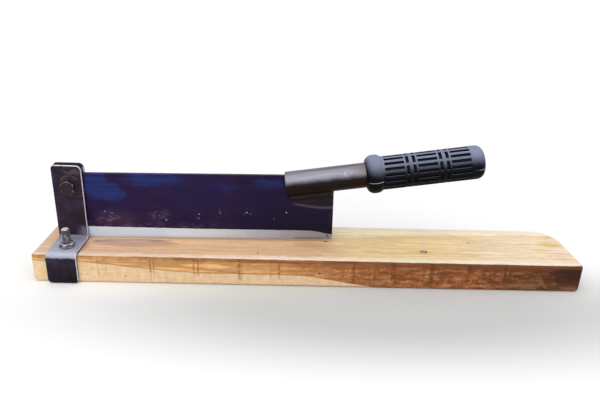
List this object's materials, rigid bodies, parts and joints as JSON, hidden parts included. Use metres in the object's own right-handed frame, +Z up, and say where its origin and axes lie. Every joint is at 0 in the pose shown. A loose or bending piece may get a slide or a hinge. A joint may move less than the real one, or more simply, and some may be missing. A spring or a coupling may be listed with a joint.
{
  "type": "lever fruit cutter",
  "caption": "Lever fruit cutter: a steel blade with a tube handle and ribbed grip, hinged between bent strap brackets on a wooden board.",
  "frame": {"origin": "middle of the board's underside", "axes": "+X along the board towards the handle, -Y to the front, +Z up"},
  "size_m": [0.55, 0.0904, 0.1397],
  "materials": {
    "board_wood": "planed hardwood, honey to pale cream, knots and saw marks",
    "bracket_steel": "black mill scale, worn bright on the cut edges",
    "bright_fastener": "dull zinc",
    "dark_fastener": "black oxide",
    "blued_steel": "heat blued, with a bright ground bevel",
    "tube_steel": "bare drawn tube, brown below",
    "weld_metal": "dark weld bead",
    "grip_rubber": "moulded black rubber, satin"
  },
  "bodies": {
    "base": {"board": "board_wood", "front_bracket": "bracket_steel", "rear_bracket": "bracket_steel", "front_clamp_bolt": "bright_fastener", "rear_clamp_bolt": "bright_fastener", "front_clamp_washer": "bright_fastener", "rear_clamp_washer": "bright_fastener", "front_clamp_nut": "bright_fastener", "rear_clamp_nut": "bright_fastener", "pivot_bolt": "dark_fastener", "pivot_head_washer": "dark_fastener", "pivot_nut_washer": "dark_fastener", "pivot_nut": "dark_fastener"},
    "lever": {"blade": "blued_steel", "handle_tube": "tube_steel", "front_weld_bead": "weld_metal", "rear_weld_bead": "weld_metal", "grip": "grip_rubber"}
  },
  "joints": [
    {"name": "blade_pivot", "type": "hinge", "parent": "base", "child": "lever", "pos_m": [-0.243, 0, 0.0885], "axis": [0, -1, 0], "range_deg": [-0.8, 109.2]}
  ]
}
